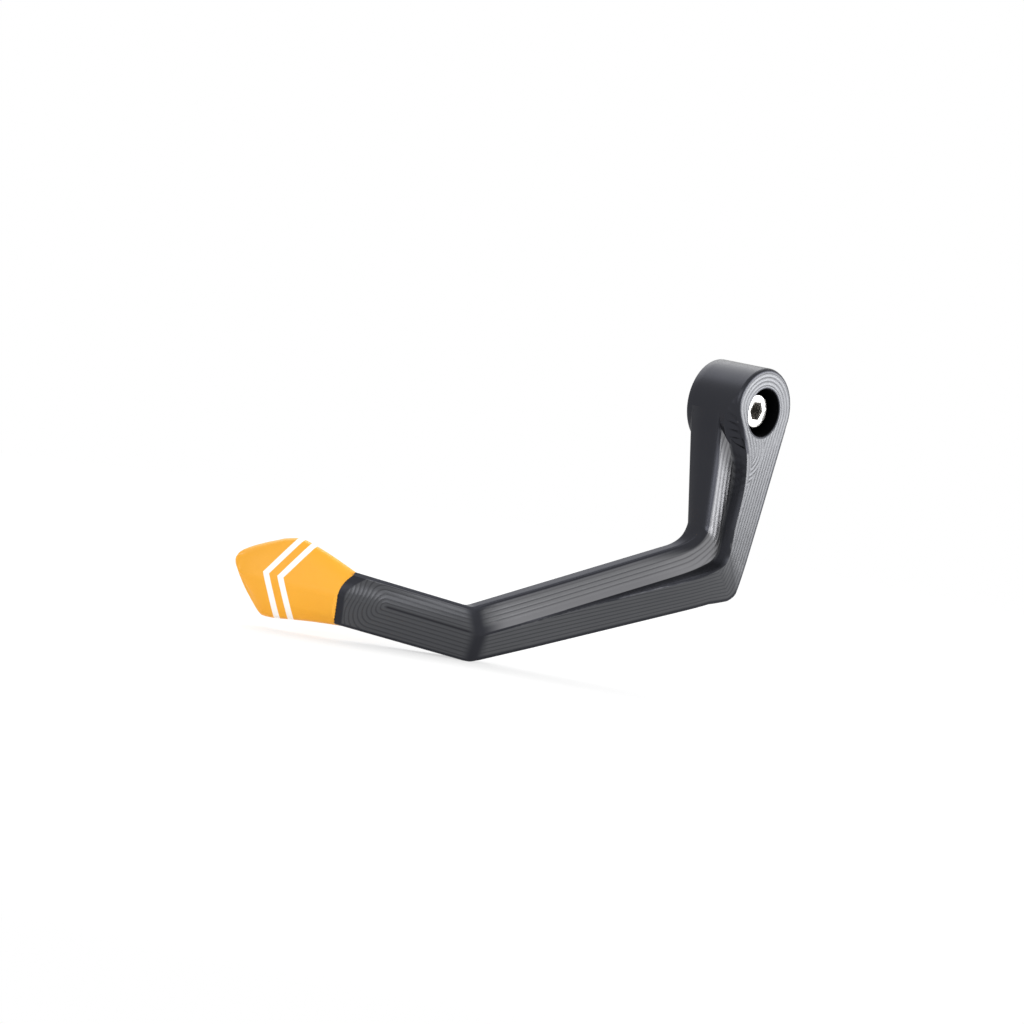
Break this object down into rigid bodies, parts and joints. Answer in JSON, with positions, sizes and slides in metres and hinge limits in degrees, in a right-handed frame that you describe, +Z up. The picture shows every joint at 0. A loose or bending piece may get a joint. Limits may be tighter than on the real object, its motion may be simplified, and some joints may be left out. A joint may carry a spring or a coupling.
{
  "type": "clutch lever guard",
  "caption": "Motorbike clutch lever guard: a round bar-end boss with a recessed socket-head bolt, a machined arm with two elbows, and a rounded plastic end tip.",
  "frame": {"origin": "centre of the boss's seat, the flat face that bears on the bar end, on the bolt's axis", "axes": "+X outboard along the handlebar and the bolt, +Z up along the drop arm; the long arm, the short arm and the tip sweep inboard towards -X and towards -Y"},
  "size_m": [0.1107, 0.1088, 0.099],
  "materials": {
    "anodised_arm": "black anodised, satin, with fine milling lines",
    "tip_plastic": "satin moulded nylon",
    "bolt_steel": "bright"
  },
  "bodies": {
    "root": {"guard_arm": "anodised_arm", "end_tip": "tip_plastic", "mounting_bolt": "bolt_steel"}
  },
  "joints": []
}
